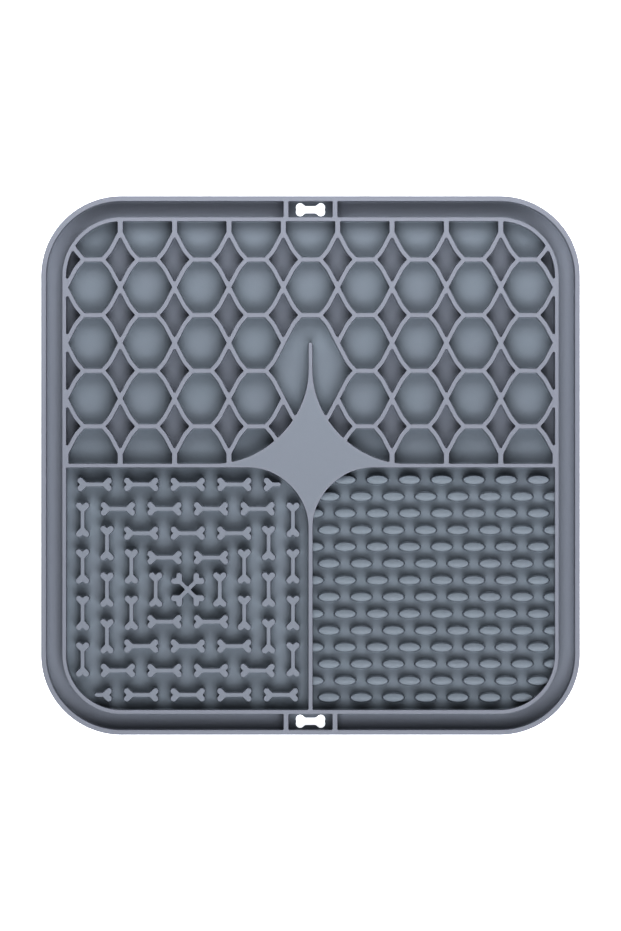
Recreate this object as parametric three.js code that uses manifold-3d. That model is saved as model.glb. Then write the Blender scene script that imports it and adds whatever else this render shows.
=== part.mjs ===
// Square lick mat moulded in one piece of silicone, millimetres, +Z up.
// The origin is the centre of the flat underside. A thin sheet carries walls that stand straight up from it:
// an outer rim, a gutter, an inner wall, a lattice of barrel-sided cells over the upper half, and a four-pointed
// star with dividers. Bone-shaped studs fill the lower left field, and domed oval studs the lower right one.
// Two bone-shaped slots in the gutter go right through the sheet.
import * as THREE from "three";
import { mergeVertices } from "three/addons/utils/BufferGeometryUtils.js";
import Module from "manifold-3d";

const wasm = await Module();
wasm.setup();
const radians = THREE.MathUtils.degToRad;

// Outline and walls
const side = 200;
const outerRadius = 29.7;
const sheetThickness = 2;
const wallHeight = 6.5;
const rimThickness = 1.8;
const gutterWidth = 6;
const innerWallThickness = 1.7;
const cornerSteps = 9;

// Ribs and slots of the gutter, at the middle of the top and bottom sides
const ribOffset = 9.1;
const ribThickness = 1.85;
const slot = { lobeX: 3.85, lobeY: 0.83, lobeRadius: 1.67, lobeEnd: radians(115), neckX: 1.9, neckHalf: 1.4 };

// Star and dividers
const dividerAcross = 1.64;
const dividerDown = 1.34;
const spikeWidth = 1.2;
const spikeTip = 45.7;
const upperSweep = 34.9;
const lowerSweep = 22.3;
const sweepFullness = 0.53;
const sweepSteps = 12;

// Lattice of the upper half
const columns = 9;
const latticeHalfWidth = 90.85;
const rows = 5;
const firstRowY = 4.23;
const pitchY = 20.65;
const cellWall = 1.4;
const stemWidth = 1.75;
const slant = radians(61.2);
const bendRadius = 3.6;
const cellBevel = 1.32;

// Bone studs, in square rings round a crossed pair
const boneHeight = 5.5;
const boneLength = 12.8;
const crossedLength = 14;
const lobeY = 1.4;
const lobeRadius = 1.1;
const lobeSteps = 3;
const shaftWidth = 1.56;
const boneCentre = { x: -45.6, y: -46.1 };
const firstRing = 11.9;
const ringPitch = 9.06;
const rings = 4;
const bonePitch = 17.3;

// Oval studs, in staggered rows
const oval = { height: 4.2, shoulder: 0.62, length: 8.7, width: 4.2, taper: 0.93, sides: 8 };
const ovalStart = { x: 0.9, y: -5.2 };
const ovalPitch = { x: 11.97, y: 6.22 };
const ovalRows = 14;
const ovalsInRow = 8;

// Lengths worked out from the ones above
const half = side / 2;
const cornerCentre = half - outerRadius;
const gutterOuter = half - rimThickness;
const gutterInner = gutterOuter - gutterWidth;
const gutterMiddle = (gutterOuter + gutterInner) / 2;
const fieldHalf = gutterInner - innerWallThickness;
const top = sheetThickness + wallHeight;
const pitchX = (2 * latticeHalfWidth) / columns;
const halfWall = cellWall / 2;

// How far a cutter runs past what it cuts, and a stud into what it grows from
const overrun = 1;
const weld = 0.4;

// One closed solid: positions only, shared vertices merged, collapsed faces dropped.
function solidOf(geometry) {
  geometry.deleteAttribute("normal");
  geometry.deleteAttribute("uv");
  const merged = mergeVertices(geometry, 1e-4);
  const kept = [];
  for (let i = 0; i < merged.index.count; i += 3) {
    const [a, b, c] = merged.index.array.subarray(i, i + 3);
    if (a !== b && b !== c && c !== a) kept.push(a, b, c);
  }
  return new wasm.Manifold(
    new wasm.Mesh({
      numProp: 3,
      vertProperties: merged.attributes.position.array,
      triVerts: new Uint32Array(kept),
    }),
  );
}

function joined(solids) {
  return wasm.Manifold.union(solids);
}

// A straight prism on a closed anticlockwise outline.
function prism(outline, low, high) {
  const geometry = new THREE.ExtrudeGeometry(new THREE.Shape(outline), {
    depth: high - low,
    bevelEnabled: false,
  });
  return solidOf(geometry.translate(0, 0, low));
}

// A pocket from the sheet's upper face out past the wall tops.
function pocket(outline) {
  return prism(outline, sheetThickness, top + overrun);
}

// A stud of a given height, rooted in the sheet.
function stud(outline, height) {
  return prism(outline, sheetThickness - weld, sheetThickness + height);
}

function point(x, y) {
  return new THREE.Vector2(x, y);
}

function moved(points, x, y) {
  return points.map((p) => point(p.x + x, p.y + y));
}

function turned(points, angle) {
  return points.map((p) => p.clone().rotateAround(point(0, 0), angle));
}

// A copy mirrored by the signs, still anticlockwise.
function mirrored(points, signX, signY) {
  const flipped = points.map((p) => point(p.x * signX, p.y * signY));
  return signX * signY < 0 ? flipped.reverse() : flipped;
}

// A closed outline from its upper right quarter.
function fourfold(quarter) {
  const signs = [[1, 1], [-1, 1], [-1, -1], [1, -1]];
  const all = signs.flatMap(([x, y]) => mirrored(quarter, x, y));
  return all.filter((p, i) => p.distanceTo(all.at(i - 1)) > 1e-6);
}

function arc(x, y, radius, from, to, steps) {
  const points = [];
  for (let i = 0; i <= steps; i++) {
    const angle = from + ((to - from) * i) / steps;
    points.push(point(x + radius * Math.cos(angle), y + radius * Math.sin(angle)));
  }
  return points;
}

// The upper right corner of a square whose corners are round about the same centres as the mat's own.
function roundCorner(halfSide) {
  return arc(cornerCentre, cornerCentre, halfSide - cornerCentre, 0, Math.PI / 2, cornerSteps);
}

function roundedSquare(halfSide) {
  return fourfold(roundCorner(halfSide));
}

// One hollow side of the star, from flat beside the x axis to upright beside the y axis.
function sweep(cornerX, cornerY, reach) {
  const near = reach * (1 - sweepFullness);
  return new THREE.CubicBezierCurve(
    point(cornerX + reach, cornerY),
    point(cornerX + near, cornerY),
    point(cornerX, cornerY + near),
    point(cornerX, cornerY + reach),
  ).getPoints(sweepSteps);
}

// The star's upper half with its spike, down into the divider.
function upperStar() {
  const spikeHalf = spikeWidth / 2;
  const right = [
    ...sweep(spikeHalf, dividerAcross / 2, upperSweep),
    ...arc(0, spikeTip - spikeHalf, spikeHalf, 0, Math.PI / 2, 2),
  ];
  const left = mirrored(right, -1, 1).slice(1);
  const reach = spikeHalf + upperSweep;
  return [...right, ...left, point(-reach, -overrun), point(reach, -overrun)];
}

// The region inside the inner wall and above the divider.
function upperField() {
  const corner = roundCorner(fieldHalf);
  const floor = dividerAcross / 2;
  return [point(fieldHalf, floor), ...corner, ...mirrored(corner, -1, 1), point(-fieldHalf, floor)];
}

// A lower field in the place of its upper right mirror image, grown into its walls by a margin.
function lowerField(margin) {
  const left = dividerDown / 2 - margin;
  const low = dividerAcross / 2 - margin;
  const edge = fieldHalf + margin;
  const starSide = sweep(left, low, lowerSweep).reverse();
  return [point(edge, low), ...roundCorner(edge), point(left, edge), ...starSide];
}

// The gutter between rim and inner wall, less the ribs beside its two slots.
function gutter() {
  const ring = pocket(roundedSquare(gutterOuter)).subtract(pocket(roundedSquare(gutterInner)));
  const ribs = [-1, 1].flatMap((signX) =>
    [-1, 1].map((signY) => {
      const corner = point(ribThickness / 2, gutterWidth / 2 + weld);
      const outline = moved(fourfold([corner]), signX * ribOffset, signY * gutterMiddle);
      return prism(outline, 0, top + 2 * overrun);
    }),
  );
  return ring.subtract(joined(ribs));
}

function slots() {
  const notch = -Math.asin(slot.lobeY / slot.lobeRadius);
  const lobe = arc(slot.lobeX, slot.lobeY, slot.lobeRadius, notch, slot.lobeEnd, lobeSteps);
  const outline = fourfold([...lobe, point(slot.neckX, slot.neckHalf)]);
  return joined([-1, 1].map((sign) => prism(moved(outline, 0, sign * gutterMiddle), -overrun, top)));
}

// The bend where a cell's slanted side turns into the bar above it, bevelled, from the cell's centre.
const cellHalfWidth = pitchX / 2 - halfWall / Math.sin(slant);
const cellHalfHeight = pitchY / 2 - halfWall;
const cellCornerX = cellHalfWidth - cellHalfHeight / Math.tan(slant);
const cellBend = [
  point(cellCornerX + cellBevel * Math.cos(slant), cellHalfHeight - cellBevel * Math.sin(slant)),
  point(cellCornerX - cellBevel, cellHalfHeight),
];

// The same wall's outer face, from a diamond's tip up to its straight side, from the diamond's centre.
const bendX = pitchY / 2 / Math.tan(slant) + bendRadius * Math.tan(slant / 2);
const tipAngle = Math.PI + Math.asin(bendRadius / (bendRadius + halfWall));
const sideAngle = 1.5 * Math.PI - slant;
const diamondBend = arc(bendX, bendRadius, bendRadius + halfWall, tipAngle, sideAngle, 1);

function cell() {
  return fourfold([point(cellHalfWidth, 0), ...cellBend]);
}

function diamond() {
  return fourfold([...diamondBend, point(0, pitchY / 2 - halfWall / Math.cos(slant))]);
}

// Half a cell whose lower end is open: straight stems run on to the wall behind it.
function stemmedCell() {
  const stemSide = (pitchX - stemWidth) / 2;
  const shoulder = (cellHalfWidth - stemSide) * Math.tan(slant);
  const right = [point(stemSide, -pitchY / 2), point(stemSide, shoulder), ...cellBend];
  return [...right, ...mirrored(right, -1, 1)];
}

// The wide cell round the spike: two cells and the diamonds beside them, with no walls between.
function spikeCell() {
  return fourfold([...moved(diamondBend, pitchX / 2, 0), ...moved(cellBend, 0, pitchY / 2)]);
}

function lattice() {
  const middle = (columns - 1) / 2;
  const spikeBarRow = 1;
  const open = [pocket(moved(spikeCell(), 0, firstRowY + (spikeBarRow + 0.5) * pitchY))];
  for (let column = 0; column < columns; column++) {
    const x = (column - middle) * pitchX;
    for (let row = 0; row < rows; row++) {
      const y = firstRowY + row * pitchY;
      const underSpike = column === middle && row <= spikeBarRow + 1;
      if (underSpike) continue;
      if (row === 0) open.push(pocket(moved(stemmedCell(), x, y)));
      else if (row === rows - 1) open.push(pocket(moved(mirrored(stemmedCell(), 1, -1), x, y)));
      else open.push(pocket(moved(cell(), x, y)));
    }
  }
  for (let column = 0; column <= columns; column++) {
    const x = column * pitchX - latticeHalfWidth;
    for (let row = 0; row < rows - 1; row++) {
      const besideSpike = Math.abs(x) < pitchX && row === spikeBarRow;
      if (besideSpike) continue;
      open.push(pocket(moved(diamond(), x, firstRowY + (row + 0.5) * pitchY)));
    }
  }
  const star = prism(upperStar(), 0, top + 2 * overrun);
  return joined(open).intersect(pocket(upperField())).subtract(star);
}

// The upper right quarter of a bone: notch, lobe on a slanted arm, and the end of the straight shaft.
function boneQuarter(length) {
  const x = length / 2 - lobeRadius;
  const diagonal = Math.SQRT1_2 * lobeRadius;
  const notch = point(x - lobeY + 2 * diagonal, 0);
  const lobe = arc(x, lobeY, lobeRadius, -Math.PI / 4, (3 * Math.PI) / 4, lobeSteps);
  const armFoot = point(x - lobeY - 2 * diagonal + shaftWidth / 2, shaftWidth / 2);
  return [notch, ...lobe, armFoot];
}

// The right half of a bone, closed by a round stub at its middle.
function halfBone() {
  const quarter = boneQuarter(boneLength);
  const stub = arc(shaftWidth / 2, 0, shaftWidth / 2, Math.PI / 2, (3 * Math.PI) / 2, 3);
  return [...mirrored(quarter, 1, -1).slice(0, -1), ...quarter, ...stub];
}

function bones() {
  const whole = fourfold(boneQuarter(boneLength));
  const upright = turned(whole, Math.PI / 2);
  const crossed = fourfold(boneQuarter(crossedLength));
  const outlines = [turned(crossed, Math.PI / 4), turned(crossed, -Math.PI / 4)];
  for (let ring = 1; ring <= rings; ring++) {
    const out = firstRing + (ring - 1) * ringPitch;
    for (let i = 0; i <= ring; i++) {
      const x = (i - ring / 2) * bonePitch;
      const cutShort = ring === rings;
      const above = cutShort && i === ring ? turned(halfBone(), Math.PI) : whole;
      const below = cutShort && i === 0 ? halfBone() : whole;
      outlines.push(moved(above, x, out), moved(below, x, -out));
    }
    for (let i = 0; i < ring; i++) {
      const y = (i - (ring - 1) / 2) * bonePitch;
      outlines.push(moved(upright, out, y), moved(upright, -out, y));
    }
  }
  return joined(outlines.map((o) => stud(moved(o, boneCentre.x, boneCentre.y), boneHeight)));
}

// A domed oval: a tapering eight-sided foot under a low cap.
function ovalStud() {
  const shoulder = sheetThickness + oval.shoulder * oval.height;
  const profile = [
    point(0, sheetThickness - weld),
    point(1, sheetThickness - weld),
    point(1, sheetThickness),
    point(oval.taper, shoulder),
    point(0, sheetThickness + oval.height),
  ];
  const geometry = new THREE.LatheGeometry(profile, oval.sides).rotateX(Math.PI / 2);
  return solidOf(geometry.scale(oval.length / 2, oval.width / 2, 1));
}

function ovals() {
  const model = ovalStud();
  const studs = [];
  for (let row = 0; row < ovalRows; row++) {
    const shift = row % 2 === 0 ? 0 : ovalPitch.x / 2;
    const y = ovalStart.y - row * ovalPitch.y;
    for (let i = 0; i < ovalsInRow; i++) {
      const x = ovalStart.x + shift + i * ovalPitch.x;
      studs.push(model.translate([x, y, 0]));
    }
  }
  const field = prism(mirrored(lowerField(weld), 1, -1), 0, top);
  return joined(studs).intersect(field);
}

// The whole moulding: a solid block of the mat's outline, hollowed out, then studded and slotted.
function moulding() {
  const hollows = [
    gutter(),
    lattice(),
    pocket(mirrored(lowerField(0), 1, -1)),
    pocket(mirrored(lowerField(0), -1, -1)),
  ];
  return prism(roundedSquare(half), 0, top)
    .subtract(joined(hollows))
    .add(bones())
    .add(ovals())
    .subtract(slots());
}

function meshOf(name, solid, material) {
  const { numProp, vertProperties, triVerts } = solid.getMesh();
  const positions = new THREE.InterleavedBuffer(vertProperties, numProp);
  const geometry = new THREE.BufferGeometry()
    .setAttribute("position", new THREE.InterleavedBufferAttribute(positions, 3, 0))
    .setIndex(new THREE.BufferAttribute(triVerts, 1));
  const mesh = new THREE.Mesh(geometry, material);
  mesh.name = name;
  return mesh;
}

const silicone = new THREE.MeshStandardMaterial({ color: 0x939ca8, roughness: 0.6, metalness: 0 });

const mat = new THREE.Group();
mat.add(meshOf("mat", moulding(), silicone));

export default mat;
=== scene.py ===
"""Slate grey silicone lick mat on a pale floor, seen from straight above.

The mat's fine skin is made here. It has its solid's outline, height and layout, with walls and studs within
half a millimetre of the solid's: rounded lips along every wall and stud, small fillets where they meet the
sheet, domed ovals, and a matte silicone finish. Sizes are in millimetres, and only the grain, the floor and
the lights are in metres.
"""

import math

import bmesh
import bpy
import numpy as np
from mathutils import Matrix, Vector
from mathutils.geometry import delaunay_2d_cdt


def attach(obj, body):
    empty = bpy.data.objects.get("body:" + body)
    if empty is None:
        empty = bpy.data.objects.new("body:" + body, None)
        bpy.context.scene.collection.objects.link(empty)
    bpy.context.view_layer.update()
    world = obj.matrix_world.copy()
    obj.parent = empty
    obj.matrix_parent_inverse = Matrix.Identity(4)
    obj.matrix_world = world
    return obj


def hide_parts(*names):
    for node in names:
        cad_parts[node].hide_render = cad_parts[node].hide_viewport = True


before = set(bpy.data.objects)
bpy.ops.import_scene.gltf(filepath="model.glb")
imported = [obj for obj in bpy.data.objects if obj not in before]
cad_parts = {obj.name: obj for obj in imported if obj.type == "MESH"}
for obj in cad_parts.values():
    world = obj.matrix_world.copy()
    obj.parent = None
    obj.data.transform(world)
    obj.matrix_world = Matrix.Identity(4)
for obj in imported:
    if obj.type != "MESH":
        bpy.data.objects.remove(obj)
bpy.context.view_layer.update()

MM = 0.001
RIGHT_ANGLE = math.pi / 2

# Outline and walls
SIDE = 200
OUTER_RADIUS = 29.7
SHEET = 2
WALL_HEIGHT = 6.5
RIM = 1.8
GUTTER = 6
INNER_WALL = 1.45
CORNER_STEPS = 28

# Ribs and slots of the gutter
RIB_OFFSET = 9.1
RIB_THICKNESS = 1.85
SLOT_LOBE = (3.85, 0.83)
SLOT_LOBE_RADIUS = 1.67
SLOT_LOBE_END = math.radians(115)
SLOT_NECK = (1.9, 1.4)

# Star and dividers
DIVIDER_ACROSS = 1.37
DIVIDER_DOWN = 1.56
SPIKE_WIDTH = 1.46
SPIKE_TIP = 45.7
UPPER_SWEEP = 34.9
LOWER_SWEEP = 22.3
SWEEP_FULLNESS = 0.53
SWEEP_STEPS = 36

# Lattice of the upper half
COLUMNS = 9
LATTICE_HALF_WIDTH = 90.85
ROWS = 5
FIRST_ROW_Y = 4.23
PITCH_Y = 20.65
CELL_WALL = 1.58
STEM_WIDTH = 1.93
SLANT = math.radians(62.5)
FLARE = math.radians(48.7)
KNEE_Y = 3.2
KNEE_RADIUS = 13
KNEE_STEPS = 4
SPIKE_BAR_ROW = 1
NARROW_POCKET = 0.75

# Bone studs
BONE_HEIGHT = 5.5
BONE_LENGTH = 12.8
CROSSED_LENGTH = 14
LOBE_Y = 1.4
LOBE_RADIUS = 1.1
LOBE_STEPS = 9
SHAFT_WIDTH = 1.48
BONE_CENTRE = (-45.6, -46.1)
FIRST_RING = 11.9
RING_PITCH = 9.06
RINGS = 4
BONE_PITCH = 17.3
BONE_ROUND = 0.4

# Oval studs
OVAL_HEIGHT = 4.7
OVAL_LENGTH = 8.5
OVAL_WIDTH = 3.8
OVAL_SIDES = 28
OVAL_DRAFT = 0.35
OVAL_EDGE = 0.2
OVAL_CROWN = 0.45
CROWN_RINGS = (0.85, 0.65, 0.4, 0.15)
OVAL_START = (0.9, -5.35)
OVAL_PITCH = (11.97, 6.22)
OVAL_ROWS = 14
OVALS_IN_ROW = 8
OVAL_CLEARANCE = 0.1
CUT_DEPTH = 0.45

# Soft edges of the moulding
LIP = 0.13
LIP_STEPS = 3
SLOT_LIP = 0.18
POCKET_FILLET = 0.3
STUD_FILLET = 0.25
FILLET_STEPS = 2
DRAFT = 0.1
CORNER_ROUND = 0.45
TIGHTER_ROUND = 0.8
SHARP_TURN = math.radians(24)
ROUND_STEP = math.radians(18)
TIP_STEPS = 8

# Distances that count as none
POINTS_APART = 0.02
ON_LINE = 1e-6
PARALLEL = 1e-12
JOINED = 1e-5
CUT_JOINED = 1e-4

# Camera and photograph frame
FRAME_PIXELS = (621, 931)
MM_PER_PIXEL = 0.37126
CAMERA_HEIGHT = 3000
CAMERA_SENSOR = 36
CAMERA_CLIP = (0.1, 100)

# Silicone, with the scales of its noise per metre and the grain's depth in metres
SILICONE_DARK = (0.258, 0.281, 0.317)
SILICONE_LIGHT = (0.256, 0.289, 0.322)
# Painted light and shade: a lighter purple, painted on wall tops and edges as light and on deep pocket
# floors as a shade tint
SILICONE_PAINTED_LIGHT_AND_SHADE = (0.292, 0.305, 0.346)
SILICONE_ROUGHNESS = 0.55
SILICONE_IOR = 1.41
TONE_SCALE = 60
TONE_DETAIL = 2
GRAIN_SCALE = 1800
GRAIN_DETAIL = 3
GRAIN_DEPTH = 0.00003
# Painted light: how steeply it rises up the walls, the painted shade tint of deep pocket floors, the
# painted sheen of the star's middle, and the band along the star's edges where the painted light fades in
PAINTED_LIGHT_RISE = 3
PAINTED_POCKET_SHADE_TINT = 0.7
PAINTED_STAR_SHEEN = 0.5
PAINTED_EDGE_BAND = 1.3
TIP_CUT = PAINTED_EDGE_BAND / 4

# Floor in metres
FLOOR_HALF = 6
FLOOR_Z = -0.0002
FLOOR_COLOR = (0.9, 0.9, 0.9)
FLOOR_ROUGHNESS = 0.9
FLOOR_GLOW = 0.8

# Soft boxes: name, place, width and depth in metres, and watts
LIGHTS = (
    ("north_near", (0, 0.2, 0.2), 0.6, 0.12, 0.68),
    ("north_top", (0, 0.12, 0.25), 0.6, 0.12, 0.12),
    ("north_middle", (0, 0.5, 0.5), 0.6, 0.4, 0.4),
    ("north_high", (0, 0.4, 0.8), 0.6, 0.45, 1.45),
    ("south_high", (0, -0.4, 0.8), 0.6, 0.45, 4.5),
    ("south_far", (0, -0.9, 0.9), 0.8, 0.7, 5.1),
    ("south_low", (0, -0.8, 0.3), 1.2, 0.4, 3.2),
    ("south_east", (0.4, -0.5, 0.7), 0.5, 0.5, 2.2),
)

# The world gives no light, and the view is as contrasty as the photograph
WORLD_STRENGTH = 0
CONTRAST = 1.7

# Worked out from the sizes above
HALF = SIDE / 2
CORNER_CENTRE = HALF - OUTER_RADIUS
GUTTER_OUTER = HALF - RIM
GUTTER_INNER = GUTTER_OUTER - GUTTER
GUTTER_MIDDLE = (GUTTER_OUTER + GUTTER_INNER) / 2
FIELD_HALF = GUTTER_INNER - INNER_WALL
TOP = SHEET + WALL_HEIGHT
PITCH_X = 2 * LATTICE_HALF_WIDTH / COLUMNS
HALF_WALL = CELL_WALL / 2


def arc(x, y, radius, start, end, steps):
    """Points of an arc, both ends included."""
    angles = np.linspace(start, end, steps + 1)
    return np.stack([x + radius * np.cos(angles), y + radius * np.sin(angles)], axis=1)


def path(*pieces):
    """One outline from points and stretches of points, in order."""
    return np.concatenate([np.reshape(piece, (-1, 2)) for piece in pieces]).astype(float)


def mirrored(outline, sign_x, sign_y):
    """A mirrored copy that keeps the direction it runs in."""
    flipped = outline * (sign_x, sign_y)
    return flipped[::-1] if sign_x * sign_y < 0 else flipped


def turned(outline, angle):
    cos, sin = math.cos(angle), math.sin(angle)
    return outline @ np.array([[cos, sin], [-sin, cos]])


def without_repeats(outline):
    """The outline without points that lie on the one before them."""
    gaps = np.linalg.norm(outline - np.roll(outline, 1, axis=0), axis=1)
    return outline[gaps > POINTS_APART]


def fourfold(quarter):
    """A closed anticlockwise outline from its upper right quarter."""
    signs = ((1, 1), (-1, 1), (-1, -1), (1, -1))
    return without_repeats(path(*(mirrored(quarter, x, y) for x, y in signs)))


def clipped(outline, region):
    """The part of an outline inside a convex anticlockwise region."""
    for start, end in zip(region, np.roll(region, -1, axis=0)):
        along = end - start
        side = along[0] * (outline[:, 1] - start[1]) - along[1] * (outline[:, 0] - start[0])
        kept = []
        for i, here in enumerate(side):
            before = side[i - 1]
            if here * before < 0:
                share = before / (before - here)
                kept.append(outline[i - 1] + share * (outline[i] - outline[i - 1]))
            if here >= 0:
                kept.append(outline[i])
        if len(kept) < 3:
            return None
        outline = np.array(kept)
    return without_repeats(outline)


def crossing(a, b, c, d):
    """How far along a to b and along c to d the two stretches cross, or None."""
    ab, cd, ac = b - a, d - c, c - a
    across = ab[0] * cd[1] - ab[1] * cd[0]
    if abs(across) < PARALLEL:
        return None
    along_ab = (ac[0] * cd[1] - ac[1] * cd[0]) / across
    along_cd = (ac[0] * ab[1] - ac[1] * ab[0]) / across
    inside_both = 0 <= along_ab <= 1 and 0 <= along_cd <= 1
    return (along_ab, along_cd) if inside_both else None


def corner_arc(before, after, turn, radius):
    """The arc that rounds the corner between two stretches, with what it leaves of each of them.

    The stretch before ends at the corner and the stretch after starts there. Where they are too short for
    the radius, a tighter one is tried.
    """
    side = math.copysign(radius, turn)
    inner = [shifted(stretch, side) for stretch in (before, after)]
    for reach in range(len(before) + len(after)):
        for i in range(max(0, reach - len(after) + 2), min(reach + 1, len(before) - 1)):
            j = reach - i
            start = len(before) - 2 - i
            shares = crossing(inner[0][start], inner[0][start + 1], inner[1][j], inner[1][j + 1])
            if shares is None:
                continue
            centre = inner[0][start] + shares[0] * (inner[0][start + 1] - inner[0][start])
            leave = before[start] + shares[0] * (before[start + 1] - before[start])
            meet = after[j] + shares[1] * (after[j + 1] - after[j])
            first, last = (math.atan2(*(foot - centre)[::-1]) for foot in (leave, meet))
            swept = (last - first) % (2 * math.pi) - (2 * math.pi if turn < 0 else 0)
            steps = max(2, round(abs(swept) / ROUND_STEP))
            return before[: start + 1], arc(*centre, radius, first, first + swept, steps), after[j + 1 :]
    return corner_arc(before, after, turn, TIGHTER_ROUND * radius)


def shifted(stretch, distance):
    """An open run of points moved to its left by a distance."""
    along = np.diff(stretch, axis=0)
    along /= np.linalg.norm(along, axis=1)[:, None]
    normal = np.stack([-along[:, 1], along[:, 0]], axis=1)
    both = np.concatenate([normal[:1], normal]) + np.concatenate([normal, normal[-1:]])
    return stretch + distance * 2 * both / np.sum(both * both, axis=1)[:, None]


def rounded(outline, radius=CORNER_ROUND):
    """The outline with its sharp corners rounded."""
    ahead = np.roll(outline, -1, axis=0) - outline
    behind = np.roll(ahead, 1, axis=0)
    cross = behind[:, 0] * ahead[:, 1] - behind[:, 1] * ahead[:, 0]
    turns = np.arctan2(cross, np.sum(behind * ahead, axis=1))
    sharp = np.where(np.abs(turns) >= SHARP_TURN)[0]
    if not len(sharp):
        return outline
    outline, turns = np.roll(outline, -sharp[0], axis=0), np.roll(turns, -sharp[0])
    sharp = [*(sharp - sharp[0]), len(outline)]
    looped = np.concatenate([outline, outline[:1]])
    halves = []
    for first, last in zip(sharp, sharp[1:]):
        stretch = looped[first : last + 1]
        middle = (len(stretch) - 1) // 2
        split = (stretch[middle] + stretch[middle + 1]) / 2
        halves.append((path(stretch[: middle + 1], split), path(split, stretch[middle + 1 :])))
    pieces = []
    for place, corner in enumerate(sharp[:-1]):
        pieces += corner_arc(halves[place - 1][1], halves[place][0], turns[corner], radius)
    return without_repeats(path(*pieces))


def offset(outline, distance):
    """The outline moved out by a distance, point by point."""
    along = np.roll(outline, -1, axis=0) - outline
    along /= np.linalg.norm(along, axis=1)[:, None]
    normal = np.stack([along[:, 1], -along[:, 0]], axis=1)
    both = normal + np.roll(normal, 1, axis=0)
    return outline + distance * 2 * both / np.sum(both * both, axis=1)[:, None]


def round_corner(half_side):
    """The upper right corner of a square round about the mat's own corner centres."""
    return arc(CORNER_CENTRE, CORNER_CENTRE, half_side - CORNER_CENTRE, 0, RIGHT_ANGLE, CORNER_STEPS)


def sweep(corner_x, corner_y, reach):
    """One hollow side of the star, from flat beside the x axis to upright beside the y axis."""
    near = reach * (1 - SWEEP_FULLNESS)
    knots = np.array([(reach, 0), (near, 0), (0, near), (0, reach)]) + (corner_x, corner_y)
    t = np.linspace(0, 1, SWEEP_STEPS + 1)[:, None]
    weights = np.concatenate([(1 - t) ** 3, 3 * t * (1 - t) ** 2, 3 * t**2 * (1 - t), t**3], axis=1)
    return weights @ knots


def star_middle():
    """The star's broad middle, a little in from its hollow sides, where the painted light along its edges
    fades to the star's painted sheen.
    """
    upper = shifted(sweep(SPIKE_WIDTH / 2, DIVIDER_ACROSS / 2, UPPER_SWEEP), PAINTED_EDGE_BAND)
    lower = shifted(sweep(DIVIDER_DOWN / 2, DIVIDER_ACROSS / 2, LOWER_SWEEP), PAINTED_EDGE_BAND)
    upper, lower = (side[side.min(axis=1) > TIP_CUT] for side in (upper, lower))
    return path(upper, mirrored(upper, -1, 1), mirrored(lower, -1, -1), mirrored(lower, 1, -1))


def upper_field():
    corner = round_corner(FIELD_HALF)
    floor = DIVIDER_ACROSS / 2
    return path((FIELD_HALF, floor), corner, mirrored(corner, -1, 1), (-FIELD_HALF, floor))


def beside_star():
    """The convex region right of the spike and outside the star."""
    left, low = SPIKE_WIDTH / 2, DIVIDER_ACROSS / 2
    star_side = sweep(left, low, UPPER_SWEEP)[::-1]
    return path((FIELD_HALF, low), round_corner(FIELD_HALF), (left, FIELD_HALF), star_side)


def lower_field(sign_x):
    left, low = DIVIDER_DOWN / 2, DIVIDER_ACROSS / 2
    star_side = sweep(left, low, LOWER_SWEEP)[::-1]
    quarter = path((FIELD_HALF, low), round_corner(FIELD_HALF), (left, FIELD_HALF), star_side)
    return rounded(mirrored(quarter, sign_x, -1))


def gutter_side(sign_x):
    """The long pocket of the gutter on one side, from the upper ribs round to the lower ones."""
    end = RIB_OFFSET + RIB_THICKNESS / 2
    edges = []
    for half_side in (GUTTER_OUTER, GUTTER_INNER):
        corner = round_corner(half_side)
        edges.append(path((end, -half_side), mirrored(corner, 1, -1), corner, (end, half_side)))
    right = path(edges[0], edges[1][::-1])
    return rounded(mirrored(right, sign_x, 1))


def slot_pocket(sign_y):
    corner = (RIB_OFFSET - RIB_THICKNESS / 2, GUTTER / 2)
    return rounded(fourfold(path(corner)) + (0, sign_y * GUTTER_MIDDLE))


def slot(sign_y):
    notch = -math.asin(SLOT_LOBE[1] / SLOT_LOBE_RADIUS)
    lobe = arc(*SLOT_LOBE, SLOT_LOBE_RADIUS, notch, SLOT_LOBE_END, LOBE_STEPS)
    return rounded(fourfold(path(lobe, SLOT_NECK))) + (0, sign_y * GUTTER_MIDDLE)


# Cells and diamonds are drawn round their own centres
KNEE_X = (PITCH_Y / 2 - KNEE_Y) / math.tan(SLANT)
BAR_END = KNEE_X + KNEE_Y / math.tan(FLARE)
CELL_HALF_WIDTH = PITCH_X / 2 - HALF_WALL / math.sin(SLANT)


def knee(radius):
    """The bend of one face of a diamond's upper right wall, from its steep stretch to its flared one."""
    steep, flared = RIGHT_ANGLE - SLANT, RIGHT_ANGLE - FLARE
    away = KNEE_RADIUS / math.cos((flared - steep) / 2)
    toward = (flared + steep) / 2
    x, y = KNEE_X + away * math.cos(toward), KNEE_Y + away * math.sin(toward)
    return arc(x, y, radius, math.pi + steep, math.pi + flared, KNEE_STEPS)


def cell_side():
    """A cell's upper right side, from its steep stretch to the bar above the cell."""
    corner = (BAR_END + HALF_WALL * math.tan(FLARE / 2), HALF_WALL)
    return (PITCH_X / 2, PITCH_Y / 2) - path(knee(KNEE_RADIUS - HALF_WALL), corner)


def diamond_side():
    """A diamond's upper right side, from its tip at the bar to its steep stretch."""
    tip = (BAR_END - HALF_WALL / math.sin(FLARE), 0)
    return path(tip, knee(KNEE_RADIUS + HALF_WALL)[::-1])


def cell():
    return fourfold(path((CELL_HALF_WIDTH, 0), cell_side()))


def diamond():
    return fourfold(path(diamond_side(), (0, PITCH_Y / 2 - HALF_WALL / math.cos(SLANT))))


def stemmed_cell():
    """A cell whose lower end is open, with straight stems down to the wall behind it."""
    stem_side = (PITCH_X - STEM_WIDTH) / 2
    shoulder = (CELL_HALF_WIDTH - stem_side) * math.tan(SLANT)
    right = path((stem_side, -PITCH_Y / 2), (stem_side, shoulder), cell_side())
    return path(right, mirrored(right, -1, 1))


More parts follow.
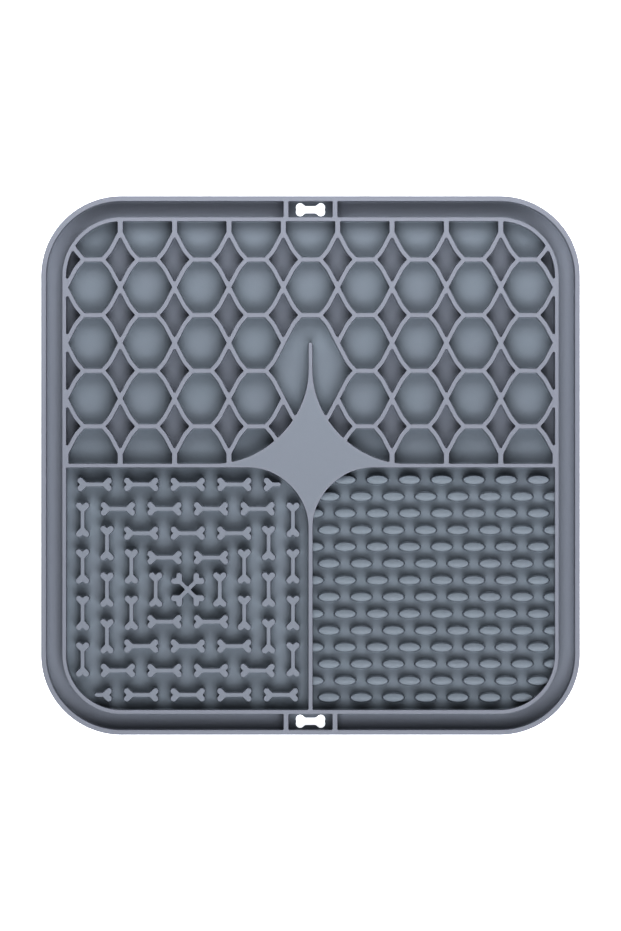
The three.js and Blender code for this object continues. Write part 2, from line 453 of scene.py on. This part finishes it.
def spike_cell():
    """The wide cell round the spike: its two halves beside the star, and the spike's round tip."""
    whole = fourfold(path(diamond_side() + (PITCH_X / 2, 0), cell_side() + (0, PITCH_Y / 2)))
    right = clipped(whole + (0, FIRST_ROW_Y + (SPIKE_BAR_ROW + 0.5) * PITCH_Y), beside_star())
    beside_spike = np.abs(right[:, 0] - SPIKE_WIDTH / 2) < ON_LINE
    highest = np.argmax(np.where(beside_spike, right[:, 1], -np.inf))
    right = np.roll(right, -highest - 1, axis=0)
    tip = arc(0, SPIKE_TIP - SPIKE_WIDTH / 2, SPIKE_WIDTH / 2, math.pi, 0, TIP_STEPS)
    return rounded(without_repeats(path(right[:-1], mirrored(right[:-1], -1, 1), tip)))


def lattice():
    """Every pocket of the upper half."""
    middle = (COLUMNS - 1) / 2
    pockets = []
    for column in range(COLUMNS):
        x = (column - middle) * PITCH_X
        for row in range(ROWS):
            if column == middle and row <= SPIKE_BAR_ROW + 1:
                continue
            shape = cell()
            if row == 0:
                shape = stemmed_cell()
            if row == ROWS - 1:
                shape = mirrored(stemmed_cell(), 1, -1)
            pockets.append((x, shape + (x, FIRST_ROW_Y + row * PITCH_Y)))
    for column in range(COLUMNS + 1):
        x = column * PITCH_X - LATTICE_HALF_WIDTH
        for row in range(ROWS - 1):
            if abs(x) < PITCH_X and row == SPIKE_BAR_ROW:
                continue
            pockets.append((x, diamond() + (x, FIRST_ROW_Y + (row + 0.5) * PITCH_Y)))
    outlines = [spike_cell()]
    for x, outline in pockets:
        in_middle = abs(x) < ON_LINE
        region = upper_field() if in_middle else mirrored(beside_star(), math.copysign(1, x), 1)
        outline = clipped(outline, region)
        if outline is not None:
            outlines.append(rounded(outline))
    return outlines


def bone_quarter(length):
    x = length / 2 - LOBE_RADIUS
    diagonal = math.sqrt(0.5) * LOBE_RADIUS
    lobe = arc(x, LOBE_Y, LOBE_RADIUS, -RIGHT_ANGLE / 2, 1.5 * RIGHT_ANGLE, LOBE_STEPS)
    arm_foot = (x - LOBE_Y - 2 * diagonal + SHAFT_WIDTH / 2, SHAFT_WIDTH / 2)
    return path((x - LOBE_Y + 2 * diagonal, 0), lobe, arm_foot)


def bone_end(length):
    """A bone's right end, from the shaft's lower side round to its upper one."""
    quarter = bone_quarter(length)
    return path(mirrored(quarter, 1, -1)[:-1], quarter)


def half_bone():
    stub = arc(SHAFT_WIDTH / 2, 0, SHAFT_WIDTH / 2, RIGHT_ANGLE, 3 * RIGHT_ANGLE, TIP_STEPS)
    return path(bone_end(BONE_LENGTH), stub)


def crossed_bones():
    half_shaft = SHAFT_WIDTH / 2
    arm = path((half_shaft, -half_shaft), bone_end(CROSSED_LENGTH))
    return path(*(turned(arm, (i + 0.5) * RIGHT_ANGLE) for i in range(4)))


def bones():
    """Every bone's outline, ring by ring."""
    whole = fourfold(bone_quarter(BONE_LENGTH))
    upright = turned(whole, RIGHT_ANGLE)
    outlines = [crossed_bones()]
    for ring in range(1, RINGS + 1):
        out = FIRST_RING + (ring - 1) * RING_PITCH
        for i in range(ring + 1):
            x = (i - ring / 2) * BONE_PITCH
            cut_short = ring == RINGS
            above = turned(half_bone(), math.pi) if cut_short and i == ring else whole
            below = half_bone() if cut_short and i == 0 else whole
            outlines += [above + (x, out), below + (x, -out)]
        for i in range(ring):
            y = (i - (ring - 1) / 2) * BONE_PITCH
            outlines += [upright + (out, y), upright + (-out, y)]
    return [rounded(outline + BONE_CENTRE, BONE_ROUND) for outline in outlines]


class Skin:
    """Points and faces of the mat's surface, in millimetres."""

    def __init__(self):
        self.points = []
        self.painted_tones = []
        self.faces = []
        self.flat = []

    def point(self, x, y, z, tone=0):
        """A point and its tone of painted light and shade: 0 in the body of the moulding, 1 on wall tops
        where the most light is painted.
        """
        self.points.append((x, y, z))
        self.painted_tones.append(tone)
        return len(self.points) - 1

    def ring(self, outline, z, tone=0):
        return [self.point(x, y, z, tone) for x, y in outline]

    def face(self, corners, flat=False):
        self.faces.append(corners)
        self.flat.append(flat)

    def band(self, start, end):
        """Quads from one ring to the next. They face out where the second one is the higher."""
        for i in range(len(start)):
            self.face((start[i - 1], start[i], end[i], end[i - 1]))

    def wall(self, outline, profile, floor_painted_shade=0):
        """Rings along a profile of (offset, height) and the bands between them. Returns the two end rings.

        The painted light rises with height, from the floor's painted shade tint to 1 at the top of a
        full-height wall.
        """
        rings = []
        for out, z in profile:
            rise = max(0, (z - SHEET) / WALL_HEIGHT) ** PAINTED_LIGHT_RISE
            rings.append(self.ring(offset(outline, out), z, floor_painted_shade + (1 - floor_painted_shade) * rise))
        for start, end in zip(rings, rings[1:]):
            self.band(start, end)
        return rings[0], rings[-1]

    def level(self, outer, holes, up=True):
        """A flat region inside one ring and outside others."""
        rings = [outer, *holes]
        ids = [i for ring in rings for i in ring]
        order = {point: place for place, point in enumerate(ids)}
        plan = [Vector(self.points[i][:2]) for i in ids]
        loops = [[order[i] for i in ring] for ring in rings]
        without_holes = 2
        result = delaunay_2d_cdt(plan, [], loops, without_holes, JOINED)
        triangles, origin = result[2:4]
        for triangle in triangles:
            corners = [ids[origin[i][0]] for i in triangle]
            self.face(corners if up else corners[::-1], flat=True)

    def mesh(self, name):
        mesh = bpy.data.meshes.new(name)
        mesh.from_pydata([tuple(MM * value for value in point) for point in self.points], [], self.faces)
        mesh.polygons.foreach_set("use_smooth", [not flat for flat in self.flat])
        # Each point's painted light and shade, for the material to mix in
        mesh.attributes.new("painted_light_and_shade", "FLOAT", "POINT").data.foreach_set("value", self.painted_tones)
        mesh.validate()
        mesh.update()
        return mesh


def lip(z, radius=LIP):
    """The rounded edge of a wall top, from the flat out to the wall's face: (offset inward, height)."""
    angles = np.linspace(0, RIGHT_ANGLE, LIP_STEPS + 1)
    return [(radius * (1 - math.sin(a)), z - radius * (1 - math.cos(a))) for a in angles]


def fillet(radius, z):
    """The hollow edge at a wall's foot, from the wall's face out to the flat: (offset outward, height)."""
    angles = np.linspace(0, RIGHT_ANGLE, FILLET_STEPS + 1)
    return [(radius * (1 - math.cos(a)), z + radius * (1 - math.sin(a))) for a in angles]


def pocket_profile(foot_radius=POCKET_FILLET):
    """Down from the lip outside a pocket to its floor."""
    foot = [(-DRAFT - out, z) for out, z in fillet(foot_radius, SHEET)]
    return lip(TOP) + foot


def stud_profile(height):
    """Up from the sheet to a stud's flat top."""
    foot = [(DRAFT + out, z) for out, z in fillet(STUD_FILLET, SHEET)][::-1]
    return foot + [(-inward, z) for inward, z in lip(SHEET + height)[::-1]]


def rim_profile():
    """Up the mat's outside, from its underside to the top of the rim."""
    edge = [(-inward, z) for inward, z in lip(TOP)]
    return [(out, TOP - z) for out, z in edge] + edge[::-1]


def slot_profile():
    """Down through the sheet, rounded at both faces."""
    edge = lip(SHEET, SLOT_LIP)
    return edge + [(out, SHEET - z) for out, z in edge[::-1]]


def oval_rings():
    """(half length, half width, height) of each ring of a domed oval, from the sheet up."""
    edge_z = SHEET + OVAL_HEIGHT - OVAL_CROWN
    side = fillet(STUD_FILLET, SHEET)[::-1]
    side += [(-OVAL_DRAFT - inward, z) for inward, z in lip(edge_z, OVAL_EDGE)[::-1]]
    rings = [(OVAL_LENGTH / 2 + out, OVAL_WIDTH / 2 + out, z) for out, z in side]
    top_length, top_width = rings[-1][:2]
    for share in CROWN_RINGS:
        rings.append((share * top_length, share * top_width, edge_z + OVAL_CROWN * (1 - share**2)))
    return rings


def ellipse(x, y, half_length, half_width):
    circle = arc(0, 0, 1, 0, 2 * math.pi, OVAL_SIDES)[:-1]
    return circle * (half_length, half_width) + (x, y)


def oval_places():
    for row in range(OVAL_ROWS):
        shift = OVAL_PITCH[0] / 2 if row % 2 else 0
        for i in range(OVALS_IN_ROW):
            yield OVAL_START[0] + shift + i * OVAL_PITCH[0], OVAL_START[1] - row * OVAL_PITCH[1]


def oval(skin, x, y):
    """One whole domed oval. Returns the ring at its foot."""
    rings = [skin.ring(ellipse(x, y, a, b), z) for a, b, z in oval_rings()]
    for start, end in zip(rings, rings[1:]):
        skin.band(start, end)
    skin.face(rings[-1])
    return rings[0]


def inside(outline, region, margin):
    """Whether an outline lies inside a convex anticlockwise region, clear of its edge by a margin."""
    along = np.roll(region, -1, axis=0) - region
    normal = np.stack([-along[:, 1], along[:, 0]], axis=1) / np.linalg.norm(along, axis=1)[:, None]
    depth = (outline[:, None, :] - region[None, :, :]) * normal[None, :, :]
    return depth.sum(axis=2).min() > margin


def make_mat():
    skin = Skin()
    bottom, top_edge = skin.wall(arc_square(HALF), rim_profile())
    openings = []
    # The gutters and slot pockets, deep and narrow, get a painted shade tint on their floors
    for sign in (-1, 1):
        openings.append(skin.wall(gutter_side(sign), pocket_profile(), PAINTED_POCKET_SHADE_TINT))
        skin.level(openings[-1][1], [])
    slot_feet = []
    for sign in (-1, 1):
        slot_top, slot_foot = skin.wall(slot(sign), slot_profile())
        slot_feet.append(slot_foot)
        openings.append(skin.wall(slot_pocket(sign), pocket_profile(SLOT_LIP), PAINTED_POCKET_SHADE_TINT))
        skin.level(openings[-1][1], [slot_top])
    for outline in lattice():
        # Narrow lattice pockets get the same painted shade tint on their floors
        narrow = np.ptp(outline[:, 0]) < NARROW_POCKET * PITCH_X
        openings.append(skin.wall(outline, pocket_profile(), PAINTED_POCKET_SHADE_TINT if narrow else 0))
        skin.level(openings[-1][1], [])

    bone_field = skin.wall(lower_field(-1), pocket_profile())
    feet = []
    for outline in bones():
        foot, cap = skin.wall(outline, stud_profile(BONE_HEIGHT))
        skin.level(cap, [])
        feet.append(foot)
    skin.level(bone_field[1], feet)

    oval_field = skin.wall(lower_field(1), pocket_profile())
    floor_edge = offset(lower_field(1), -DRAFT - POCKET_FILLET)
    whole, partial = [], []
    foot_size = oval_rings()[0]
    for x, y in oval_places():
        fits = inside(ellipse(x, y, *foot_size[:2]), floor_edge, OVAL_CLEARANCE)
        (whole if fits else partial).append((x, y))
    skin.level(oval_field[1], [oval(skin, x, y) for x, y in whole])

    for x, y in partial:
        if inside(np.array([(x, y)]), floor_edge, -OVAL_WIDTH / 2):
            cut = Skin()
            oval(cut, x, y)
            shell(skin, cut, oval_planes(x, y))

    openings += [bone_field, oval_field]
    # The star's middle gets a painted sheen at half the painted light of the wall tops, rising to full
    # across the band along its edges
    star = skin.ring(star_middle(), TOP, PAINTED_STAR_SHEEN)
    skin.level(star, [])
    skin.level(top_edge, [star, *(lip_ring for lip_ring, _ in openings)])
    skin.level(bottom, slot_feet, up=False)
    return skin.mesh("mat_skin")


def arc_square(half_side):
    return fourfold(round_corner(half_side))


def shell(skin, source, planes):
    """Adds another surface to the skin, cut off beyond each (point, outward direction) plane."""
    work = bmesh.new()
    corners = [work.verts.new(point) for point in source.points]
    for ids in source.faces:
        work.faces.new([corners[i] for i in ids])
    for place, out in planes:
        everything = work.verts[:] + work.edges[:] + work.faces[:]
        plane = {"plane_co": place, "plane_no": out}
        bmesh.ops.bisect_plane(work, geom=everything, dist=CUT_JOINED, clear_outer=True, **plane)
    work.verts.index_update()
    first = len(skin.points)
    for corner in work.verts:
        skin.point(*corner.co)
    for face in work.faces:
        skin.face([first + corner.index for corner in face.verts])
    work.free()


def oval_planes(x, y):
    """The planes, a little inside the walls round the oval field, that a cut oval may not pass."""
    low = DIVIDER_ACROSS / 2 - CUT_DEPTH
    left = DIVIDER_DOWN / 2 - CUT_DEPTH
    far = FIELD_HALF + CUT_DEPTH
    planes = [
        ((0, -low, 0), (0, 1, 0)),
        ((left, 0, 0), (-1, 0, 0)),
        ((far, 0, 0), (1, 0, 0)),
        ((0, -far, 0), (0, -1, 0)),
    ]
    beyond = np.array([x - CORNER_CENTRE, -y - CORNER_CENTRE])
    if beyond.min() > 0:
        out_x, out_y = beyond / np.linalg.norm(beyond)
        reach = far - CORNER_CENTRE
        place = (CORNER_CENTRE + reach * out_x, -CORNER_CENTRE - reach * out_y, 0)
        planes.append((place, (out_x, -out_y, 0)))
    return planes


def add_node(material, kind, **settings):
    """A shader node with its inputs set by name."""
    node = material.node_tree.nodes.new(kind)
    for name, value in settings.items():
        node.inputs[name].default_value = value
    return node


def silicone():
    """Matte slate silicone with a random mottle and a fine dull grain, and painted light and shade: a
    lighter purple painted on wall tops and edges as light, and on deep pocket floors as a shade tint.
    """
    material = bpy.data.materials.new("silicone_skin")
    material.use_nodes = True
    links = material.node_tree.links
    shader = material.node_tree.nodes["Principled BSDF"]
    shader.inputs["Roughness"].default_value = SILICONE_ROUGHNESS
    shader.inputs["IOR"].default_value = SILICONE_IOR
    place = material.node_tree.nodes.new("ShaderNodeTexCoord").outputs["Object"]

    tone = add_node(material, "ShaderNodeTexNoise", Scale=TONE_SCALE, Detail=TONE_DETAIL)
    links.new(place, tone.inputs["Vector"])
    mix = add_node(material, "ShaderNodeMix")
    mix.data_type = "RGBA"
    mix.inputs["A"].default_value = (*SILICONE_DARK, 1)
    mix.inputs["B"].default_value = (*SILICONE_LIGHT, 1)
    links.new(tone.outputs["Fac"], mix.inputs["Factor"])
    # Painted light and shade: each point's painted tone mixes in the lighter purple
    painted_tone_node = material.node_tree.nodes.new("ShaderNodeAttribute")
    painted_tone_node.attribute_name = "painted_light_and_shade"
    walls = add_node(material, "ShaderNodeMix")
    walls.data_type = "RGBA"
    walls.inputs["B"].default_value = (*SILICONE_PAINTED_LIGHT_AND_SHADE, 1)
    links.new(painted_tone_node.outputs["Fac"], walls.inputs["Factor"])
    links.new(mix.outputs["Result"], walls.inputs["A"])
    links.new(walls.outputs["Result"], shader.inputs["Base Color"])

    grain = add_node(material, "ShaderNodeTexNoise", Scale=GRAIN_SCALE, Detail=GRAIN_DETAIL)
    links.new(place, grain.inputs["Vector"])
    bump = add_node(material, "ShaderNodeBump", Strength=1, Distance=GRAIN_DEPTH)
    links.new(grain.outputs["Fac"], bump.inputs["Height"])
    links.new(bump.outputs["Normal"], shader.inputs["Normal"])
    return material


def light_table():
    """A pale floor that glows a little, so that it stays white in the slots."""
    material = bpy.data.materials.new("floor")
    material.use_nodes = True
    shader = material.node_tree.nodes["Principled BSDF"]
    shader.inputs["Base Color"].default_value = (*FLOOR_COLOR, 1)
    shader.inputs["Roughness"].default_value = FLOOR_ROUGHNESS
    shader.inputs["Emission Color"].default_value = (1, 1, 1, 1)
    shader.inputs["Emission Strength"].default_value = FLOOR_GLOW
    return material


def place_object(name, data):
    thing = bpy.data.objects.new(name, data)
    bpy.context.scene.collection.objects.link(thing)
    return thing


def make_floor():
    mesh = bpy.data.meshes.new("floor")
    corners = [(x * FLOOR_HALF, y * FLOOR_HALF, FLOOR_Z) for x, y in ((-1, -1), (1, -1), (1, 1), (-1, 1))]
    mesh.from_pydata(corners, [], [(0, 1, 2, 3)])
    floor = place_object("floor", mesh)
    floor.data.materials.append(light_table())


def make_camera():
    """Straight above the mat, far enough off to see hardly any of its walls' sides."""
    data = bpy.data.cameras.new("camera")
    data.sensor_width = CAMERA_SENSOR
    data.lens = CAMERA_SENSOR * (CAMERA_HEIGHT - TOP) / (FRAME_PIXELS[1] * MM_PER_PIXEL)
    data.clip_start, data.clip_end = CAMERA_CLIP
    camera = place_object("camera", data)
    camera.location = (0, 0, CAMERA_HEIGHT * MM)
    bpy.context.scene.camera = camera


def make_lights():
    """Soft boxes close round the mat, each aimed at its middle, as over a light table."""
    for name, place, width, depth, power in LIGHTS:
        data = bpy.data.lights.new(name, "AREA")
        data.shape = "RECTANGLE"
        data.size = width
        data.size_y = depth
        data.energy = power
        light = place_object(name, data)
        light.location = place
        light.rotation_euler = Vector(place).to_track_quat("Z", "X" if place[0] else "Y").to_euler()
        light.visible_camera = False
    world = bpy.data.worlds.new("world")
    world.use_nodes = True
    background = world.node_tree.nodes["Background"]
    background.inputs["Color"].default_value = (1, 1, 1, 1)
    background.inputs["Strength"].default_value = WORLD_STRENGTH
    bpy.context.scene.world = world


make_camera()
make_floor()
mat = place_object("mat_skin", make_mat())
mat.data.materials.append(silicone())
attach(mat, "root")
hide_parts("mat")
make_lights()
bpy.context.scene.view_settings.view_transform = "Standard"
bpy.context.scene.view_settings.gamma = 1 / CONTRAST
